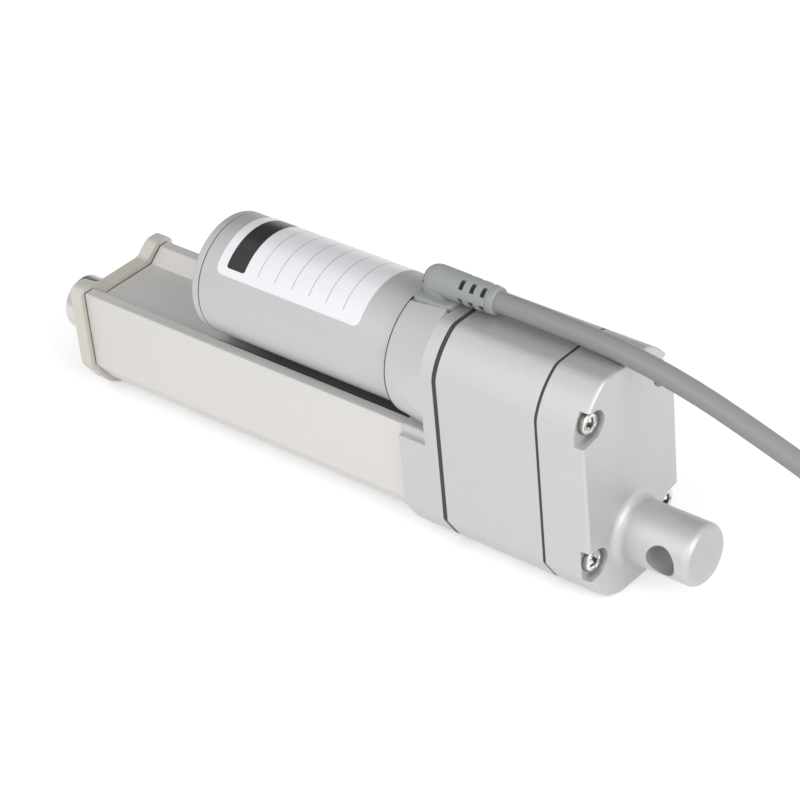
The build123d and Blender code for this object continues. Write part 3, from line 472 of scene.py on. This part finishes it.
labelSet = {
    "axisZ": 37.5, "radius": 20.15,          # the motor cover's axis and the label's face, mm
    "spanX": (105.0, 164.2), "spanAngle": (-58.0, 57.0), "corner": 2.6, "film": 0.12,
    "cornerRows": 10, "rows": 24, "columns": 60,
    "bandX": (153.0, 160.5), "bandAngle": (-50.0, 49.0), "bandCorner": 1.0, "band": 0.018,
    "ruleX": (112.5, 119.5, 126.5, 133.5, 140.5, 147.5), "ruleAngle": (-48.0, 47.0),
    "ruleHalf": 0.13, "rule": 0.25, "ruleInk": 0.75,
    "least": 0.01,                           # mm; a field with sharp corners needs some reach
    # the paper's grey level is partly its own colour and partly painted reflection; its cool tint is painted
    # reflection of the surroundings
    "paper": 0.78, "tint": (0.975, 0.99, 1.02), "darker": 0.97, "lighter": 1.02,
    "fibre": 1500.0, "depth": 0.002,
    "rough": 0.36, "metal": 0.3, "coat": 0.3, "coatRough": 0.2,
}


def labelFilm():
    # blank printed film: a plain dark band and thin ruled lines round the motor; the paper's cool tint is a
    # painted reflection
    look = labelSet
    finish = Finish("labelFilm", Roughness=look["rough"], Metallic=look["metal"],
                    Coat_Weight=look["coat"], Coat_Roughness=look["coatRough"])
    x, y, z = finish.axes()
    arc = look["radius"] * mm
    around = y.angleTo(z - look["axisZ"] * mm) * arc

    def field(spanX, spanAngle, corner=0.0):
        # 1 inside a rounded field of the unrolled film, 0 outside
        midX, halfX = (spanX[0] + spanX[1]) / 2 * mm, (spanX[1] - spanX[0]) / 2 * mm
        midA, halfA = radians(sum(spanAngle) / 2) * arc, radians(spanAngle[1] - spanAngle[0]) / 2 * arc
        alongX = (abs(x - midX) - (halfX - corner)).atLeast(0.0)
        alongA = (abs(around - midA) - (halfA - corner)).atLeast(0.0)
        return (alongX * alongX + alongA * alongA).root() < corner + look["least"] * mm

    band = field(look["bandX"], look["bandAngle"], look["bandCorner"] * mm)
    rules = None
    for ruleX in look["ruleX"]:
        line = field((ruleX - look["ruleHalf"], ruleX + look["ruleHalf"]), look["ruleAngle"])
        rules = line if rules is None else rules.atLeast(line)
    fibre = finish.noise(look["fibre"])
    paper = finish.mix(fibre, shade(look["paper"] * look["darker"], look["tint"]),
                       shade(look["paper"] * look["lighter"], look["tint"]))
    paper = finish.mix(rules * look["ruleInk"], paper, shade(look["rule"]))
    finish.paint(Base_Color=finish.mix(band, paper, shade(look["band"])))
    finish.bump(fibre, look["depth"])
    return finish.material


def makeLabel():
    # rows of arcs about the motor's axis; near the two ends each arc is pulled in by the corner's circle
    look = labelSet
    arc, corner = look["radius"], look["corner"]
    x0, x1 = look["spanX"]
    halfX, midX = (x1 - x0) / 2, (x0 + x1) / 2
    a0, a1 = [radians(a) * arc for a in look["spanAngle"]]
    endX = halfX - corner + corner * np.sin(quarterTurn(look["cornerRows"]))
    middle = np.linspace(-halfX + corner, halfX - corner, look["rows"])[1:-1]
    rowX = np.concatenate([-endX[::-1], middle, endX])
    past = np.maximum(np.abs(rowX) - (halfX - corner), 0)
    pulled = corner - np.sqrt(np.maximum(corner ** 2 - past ** 2, 0))
    share = np.linspace(0, 1, look["columns"])
    around = (a0 + pulled)[:, None] + ((a1 - a0) - 2 * pulled)[:, None] * share
    x = np.broadcast_to((midX + rowX)[:, None], around.shape)
    angle = around / arc
    points = np.stack([x, arc * np.sin(angle), look["axisZ"] + arc * np.cos(angle)], axis=-1)
    piece = gridPiece("label_film", [gridPart(points, False)], "labelFilm")
    thick = piece.modifiers.new("film", "SOLIDIFY")
    thick.thickness, thick.offset = look["film"] * mm, -1.0
    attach(piece, "chassis")
    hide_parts("label")


finishes["labelFilm"] = labelFilm()
makeLabel()
print("label made")


# painted shade: a black ring where the motor cover leaves the collar, standing in for the shadow line there

shadeRingSet = {"x": (91.25, 92.0), "radius": 20.0, "proud": 1.74, "section": 12, "around": 160,
           "lowest": 17.3, "level": 0.01}       # level: the least sine of the angle below the axis


def makeShadeRing():
    # dark ring about the motor's axis, a painted shadow line; its section is an ellipse whose inner half is
    # hidden in the cover, and below, its reach stops at the floor of the tube's trough, at the height lowest
    x0, x1 = shadeRingSet["x"]
    turn = fullTurn(shadeRingSet["section"])
    along = (x0 + x1) / 2 + (x1 - x0) / 2 * np.cos(turn)
    angle = fullTurn(shadeRingSet["around"])
    room = (labelSet["axisZ"] - shadeRingSet["lowest"]) / np.maximum(-np.sin(angle), shadeRingSet["level"])
    reach = np.minimum(shadeRingSet["radius"] + shadeRingSet["proud"] * np.sin(turn)[:, None], room)
    points = aboutX(along, reach, angle, labelSet["axisZ"])
    piece = gridPiece("motor_shade_ring", [gridPart(np.vstack([points, points[:1]]))], "gasketBlack")
    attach(piece, "chassis")


makeShadeRing()
print("motor shade ring made")


# strain relief: foot plate, short column and a slotted boot

bootSet = {
    "axisZ": 63.4, "endX": 62.5, "backX": 90.0, "endRadius": 4.45, "backRadius": 4.95,     # mm
    "ringRadius": 4.35, "ringLength": 1.9, "ringFade": 0.25, "lipRound": 0.5,
    "groove": 0.4, "grooveWidth": 0.5, "grooveRise": 0.2, "grooveFade": 0.25,
    "shoulder": 5.6, "shoulderPower": 2.4, "rows": 220, "around": 180,
    "slotX": (66.3, 70.3, 74.3), "slotAngle": 52.0, "slotSize": (1.7, 3.3), "notchSize": (1.8, 12.6),
    "slotDepth": 2.2, "slotFade": 0.24,
    "columnX": 84.9, "columnHalf": (5.0, 4.7), "columnFoot": 58.6, "columnPower": 3.2,
    "columnSwell": 0.10, "columnFade": 1.6, "columnRows": 24, "columnAround": 96,
    "plateX": (76.6, 91.2), "plateY": 7.1, "plateZ": (57.8, 60.0), "plateCorner": 2.4, "plateEdge": 0.6,
    "plateFoot": 0.05, "plateTop": 0.3, "cornerSteps": 9, "edgeSteps": 7,
    "shade": 0.275, "rough": 0.5, "tint": (0.96, 1.0, 1.01),
    "slotShadeX": 63.5, "slotShadeRadius": 3.9, "slotPaintedShade": 0.25,           # painted shade at the bottom of the slots
}


def bootRubber():
    # moulded rubber; painted shade darkens the bottom of the slots, inside a radius about the boot's axis
    look = bootSet
    finish = Finish("bootGrey")
    skin = rubberSkin(finish, look["shade"], look["rough"], look["tint"])
    x, y, z = finish.axes()
    up = z - look["axisZ"] * mm
    slotShade = ((y * y + up * up).root() < look["slotShadeRadius"] * mm).atMost(x > look["slotShadeX"] * mm)
    slotShadeColour = shade(look["shade"] * look["slotPaintedShade"], look["tint"])
    return finish.paint(Base_Color=finish.mix(slotShade, skin, slotShadeColour)).material


def bootBody():
    # radius along the axis is a profile; slots and notches are pressed in at their angles
    look = bootSet
    x = np.linspace(look["endX"], look["backX"], look["rows"])
    share = (x - look["endX"]) / (look["backX"] - look["endX"])
    taper = look["endRadius"] + (look["backRadius"] - look["endRadius"]) * share
    past = x - look["endX"] - look["ringLength"]
    radius = taper + (look["ringRadius"] - taper) * (1 - ease(past + look["ringFade"], look["ringFade"]))
    grooveEnd = 1 - ease(past - look["grooveWidth"], look["grooveFade"])
    radius -= look["groove"] * ease(past, look["grooveRise"]) * grooveEnd
    radius -= look["lipRound"] * (1 - ease(x - look["endX"], look["lipRound"]))
    tail = np.clip((x - (look["backX"] - look["shoulder"])) / look["shoulder"], 0, 1)
    radius *= (1 - tail ** look["shoulderPower"]) ** (1 / look["shoulderPower"])
    angle = fullTurn(look["around"])
    depth = np.zeros((len(x), len(angle)))

    def press(middleX, middleAngle, size):
        fade = look["slotFade"]
        along = ease(size[0] / 2 + fade / 2 - np.abs(x - middleX), fade)[:, None]
        apart = np.abs((angle - middleAngle + pi) % (2 * pi) - pi) * look["endRadius"]
        return look["slotDepth"] * along * ease(size[1] / 2 + fade / 2 - apart, fade)

    slotAngle = radians(look["slotAngle"])
    for middleX in look["slotX"]:
        for middleAngle, size in ((slotAngle, look["slotSize"]), (pi - slotAngle, look["slotSize"]),
                                  (1.5 * pi, look["notchSize"])):
            depth = np.maximum(depth, press(middleX, middleAngle, size))
    points = aboutX(x, np.maximum(radius[:, None] - depth, 0), angle, look["axisZ"])
    front = points[:1].copy()
    front[..., 1:] = (0, look["axisZ"])
    return gridPart(np.vstack([front, points]))


def bootColumn():
    # upright column of rounded square section that swells at its foot
    look = bootSet
    middleX, (halfX, halfY), power = look["columnX"], look["columnHalf"], look["columnPower"]
    z = np.linspace(look["columnFoot"], look["axisZ"], look["columnRows"])
    swell = 1 + look["columnSwell"] * (1 - ease(z - look["columnFoot"], look["columnFade"]))
    angle = fullTurn(look["columnAround"])
    reach = (np.abs(np.cos(angle)) ** power + np.abs(np.sin(angle)) ** power) ** (-1 / power)
    x = middleX + halfX * swell[:, None] * reach * np.cos(angle)
    y = halfY * swell[:, None] * reach * np.sin(angle)
    points = np.stack([x, y, np.broadcast_to(z[:, None], x.shape)], axis=-1)
    foot, head = points[:1].copy(), points[-1:].copy()
    foot[..., :2] = head[..., :2] = (middleX, 0)
    return gridPart(np.vstack([foot, points, head]))


def bootPlate():
    # foot plate: a rounded rectangle, four quarter circles about the corners, with a quarter round
    # at its top edge
    look = bootSet
    x0, x1 = look["plateX"]
    halfX, halfY = (x1 - x0) / 2, look["plateY"]
    low, top = look["plateZ"]
    corner, edge, steps = look["plateCorner"], look["plateEdge"], look["cornerSteps"]
    angle = np.concatenate([quarterTurn(steps) + quarter * pi / 2 for quarter in range(4)])
    cornerX = (halfX - corner) * np.repeat([1, -1, -1, 1], steps)
    cornerY = (halfY - corner) * np.repeat([1, 1, -1, -1], steps)
    bend = quarterTurn(look["edgeSteps"])[::-1]
    inner = corner - edge
    radius = np.concatenate([[0.0, corner - look["plateFoot"], corner], inner + edge * np.sin(bend),
                             [inner - look["plateTop"], 0.0]])[:, None]
    z = np.concatenate([[low, low, low], top - edge + edge * np.cos(bend), [top, top]])[:, None]
    share = np.ones(len(z))[:, None]
    share[[0, -1]] = 0                      # the first and the last row are one point, the middle
    x = (x0 + x1) / 2 + share * cornerX + radius * np.cos(angle)
    y = share * cornerY + radius * np.sin(angle)
    return gridPart(np.stack([x, y, np.broadcast_to(z, x.shape)], axis=-1))


def makeStrainRelief():
    piece = gridPiece("strain_relief_boot", [bootBody(), bootColumn(), bootPlate()], "bootGrey")
    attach(piece, "chassis")
    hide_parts("strain_relief")


finishes["bootGrey"] = bootRubber()
makeStrainRelief()
print("strain relief made")


# cable: one spline from the strain relief through the folded hank to the leads

cableSet = {
    "diameter": 6.6,                                       # mm
    "exit": (62.5, 0.0, 63.4),
    "route": [(62.5, 0, 63.4), (29, 0, 63.4), (-3, 0, 58.8), (-31, -1.5, 48.5), (-55, -4, 37), (-80, -8, 22),
              (-105, -15, 5), (-127, -23, -5.5), (-143, -26.2, -9.1)],
    "tail": [(-145, 17, -15.1), (-133, 13.4, -15.2), (-120, 5.2, -15.9), (-107, 0, -16.2), (-93, 0, -16.2)],
    "near": -80.0, "far": -150.0, "middleY": -3.0,         # the two bends of the hank
    "bend": 20.0, "lift": 1.1, "hump": 0.95,               # radius of the innermost strand, and heights
    "turns": 2.25, "turnPoints": 28,
    "roll": 60.0, "rollTurns": (0.78, 0.97),               # how the upper strand comes down, in turns
    "inwardTurns": (1.55, 1.80), "humpTurns": (0.55, 0.80),
    "order": 3, "steps": 6, "around": 8,
    "grain": 1800.0, "slow": 45.0, "grainShade": 0.12, "slowShade": 0.3,
    "dark": 0.19, "light": 0.25, "tint": (0.99, 1, 1), "rough": 0.36, "gloss": 0.12, "depth": 0.006,
}


def cablePvc():
    # extruded PVC: a satin skin with a faint lengthwise drag and soft shade changes
    look = cableSet
    finish = Finish("cablePvc")
    grains, slow = finish.noise(look["grain"]), finish.noise(look["slow"])
    light = grains.swing(look["grainShade"]) + slow.swing(look["slowShade"]) + 0.5
    skin = finish.mix(light, shade(look["dark"], look["tint"]), shade(look["light"], look["tint"]))
    finish.paint(Base_Color=skin, Roughness=look["rough"] + slow.swing(look["gloss"]))
    finish.bump(grains, look["depth"])
    return finish.material


def hankPoints():
    # racetrack turns, clockwise from above: the upper strand, then down to the outer one, then the inner one.
    # t counts turns, a quarter each for the far bend, the left run, the near bend and the right run
    look = cableSet
    gauge, perTurn = look["diameter"], look["turnPoints"]
    t = np.arange(0.5, look["turns"] * perTurn) / perTurn

    def passed(span):
        return np.clip((t - span[0]) / (span[1] - span[0]), 0, 1)

    roll = radians(look["roll"]) * (1 - passed(look["rollTurns"]))
    inward = ease(passed(look["inwardTurns"]), 1)
    hump = np.sin(pi * passed(look["humpTurns"])) ** 2
    across = look["bend"] + gauge * np.cos(roll) * (1 - inward)
    height = floorZ / mm + look["lift"] + gauge / 2 + gauge * np.sin(roll) + look["hump"] * hump
    farTurn, leftRun, nearTurn, rightRun = [np.clip((t % 1.0) * 4 - i, 0, 1) for i in range(4)]
    angle = -pi / 2 - pi * (farTurn + nearTurn)
    centreX = look["far"] + (look["near"] - look["far"]) * (leftRun - rightRun)
    onBend = (farTurn % 1 > 0) | (nearTurn % 1 > 0)
    reach = across / np.where(onBend, cos(2 * pi / perTurn), 1.0)      # the spline cuts its corners on a bend
    points = [centreX + reach * np.cos(angle), look["middleY"] + reach * np.sin(angle), height]
    return np.stack(points, axis=1).tolist()


def makeCable():
    points = cableSet["route"] + hankPoints() + cableSet["tail"]
    curve = bpy.data.curves.new("cable", "CURVE")
    curve.dimensions = "3D"
    spline = curve.splines.new("NURBS")
    spline.points.add(len(points) - 1)
    for point, place in zip(spline.points, points):
        point.co = (*placed(place), 1.0)
    spline.order_u = cableSet["order"]
    spline.use_endpoint_u = True
    spline.resolution_u = cableSet["steps"]
    curve.bevel_depth = cableSet["diameter"] / 2 * mm
    curve.bevel_resolution = cableSet["around"]
    curve.use_fill_caps = True
    curve.materials.append(finishes["cablePvc"])
    return added("cable_jacket", curve)


finishes["cablePvc"] = cablePvc()
cable = makeCable()
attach(cable, "chassis")
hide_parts("cable", "cable_coil", "cable_tail")
print("cable laid")


# the CAD nodes' finishes

nodeFinish = {
    "castSilver": ["rear_cover", "gear_housing", "front_housing"],
    "motorSilver": ["motor_cover", "motor_cover_cap"],
    "capSilver": ["front_cap"],
    "tubeAnodised": ["outer_tube"],
    "gasketBlack": ["rear_gasket", "front_gasket", "rod_wiper", "cap_seal"],
    "zincSteel": ["cover_screws", "front_cap_screws", "motor_screws"],
    "groundSteel": ["extension_tube", "rod_end", "lead_screw", "idler_pin", "motor_shaft", "gear_key",
                    "gear_spacer", "idler_spacer"],
    "gearSteel": ["output_gear", "idler_gear", "motor_pinion"],
    "raceSteel": ["bearing_outer_races", "bearing_inner_races"],
    "labelFilm": ["label"],
    "bootGrey": ["strain_relief"],
    "cablePvc": ["cable", "cable_coil", "cable_tail"],
    "nylonBlack": ["cable_tie", "limit_switches", "motor_end_bell"],
    "nylonNatural": ["connector"],
    "leadPvc": ["connector_leads"],
    "bronze": ["rod_bushing", "motor_bushings"],
    "acetalWhite": ["drive_nut"],
    "copper": ["rotor_windings", "commutator"],
    "rotorSteel": ["rotor_core"],
    "ferriteGrey": ["motor_magnets"],
    "carbonBlack": ["motor_brushes"],
    "canSteel": ["motor_can"],
    "boardGreen": ["limit_switch_board"],
}


def paintNodes():
    for name, nodes in nodeFinish.items():
        for node in nodes:
            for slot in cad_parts[node].material_slots:
                slot.material = finishes[name]


paintNodes()
print("nodes painted with", len(nodeFinish), "finishes")


# floor, backdrop and lamps

stageSet = {
    "floor": 0.80, "floorRough": 0.9, "floorShine": 0.1, "glow": 0.32, "half": 3000, "world": 0.80,
    "aim": (100, 0, 20),                                   # mm; the lamps and the flag face it
    "flagCentre": (560, -600, 560), "flagHalf": 410, "flagShade": 0.16, "flagRough": 0.9,
}
lampSet = [
    {"name": "keyBox", "from": (150, 900, 700), "size": 900, "power": 4.15},
    {"name": "rearFill", "from": (-900, 200, 600), "size": 800, "power": 7.0},
]


def makeCard(name, centre, half, facing, finish):
    # a square card, flat on the facing's third axis
    corners = [centre + facing @ Vector((sx * half * mm, sy * half * mm, 0))
               for sx, sy in ((-1, -1), (1, -1), (1, 1), (-1, 1))]
    mesh = bpy.data.meshes.new(name)
    mesh.from_pydata(corners, [], [(0, 1, 2, 3)])
    mesh.materials.append(finish.material)
    card = added(name, mesh)
    return card


def makeFloor():
    finish = Finish("floorPaper", Roughness=stageSet["floorRough"], Specular_IOR_Level=stageSet["floorShine"])
    seen = finish.seenBy("Is Camera Ray", "Is Glossy Ray", "Is Transmission Ray")
    finish.paint(Base_Color=shade(stageSet["floor"]), Emission_Color=shade(1.0),
                 Emission_Strength=seen * stageSet["glow"])
    makeCard("floor", Vector((0, 0, floorZ)), stageSet["half"], Matrix.Identity(3), finish)


def makeWorld():
    world = bpy.data.worlds.new("studio")
    world.use_nodes = True
    scene.world = world
    sky = Nodes(world.node_tree)
    seen = sky.seenBy("Is Camera Ray", "Is Transmission Ray")
    strength = sky.node("ShaderNodeMapRange", None,
                        {"To Min": stageSet["world"], "To Max": 1.0, "Value": seen})
    background = world.node_tree.nodes["Background"]
    sky.feed(background.inputs["Strength"], strength.outputs[0])
    sky.feed(background.inputs["Color"], shade(1.0))


def makeLamps():
    target = placed(stageSet["aim"])
    for lamp in lampSet:
        light = bpy.data.lights.new(lamp["name"], "AREA")
        light.shape, light.size = "SQUARE", lamp["size"] * mm
        light.energy = lamp["power"]
        place = placed(lamp["from"])
        facing = (target - place).to_track_quat("-Z", "Y")
        added(lamp["name"], light).matrix_world = Matrix.LocRotScale(place, facing, None)


def makeFlag():
    # a dark card on the far side, seen by the paint but not by the camera
    centre = placed(stageSet["flagCentre"])
    facing = (placed(stageSet["aim"]) - centre).to_track_quat("Z", "Y").to_matrix()
    cloth = Finish("flagCloth", Base_Color=shade(stageSet["flagShade"]), Roughness=stageSet["flagRough"])
    makeCard("flag", centre, stageSet["flagHalf"], facing, cloth).visible_camera = False


makeFloor()
makeWorld()
makeLamps()
makeFlag()
print("stage set")
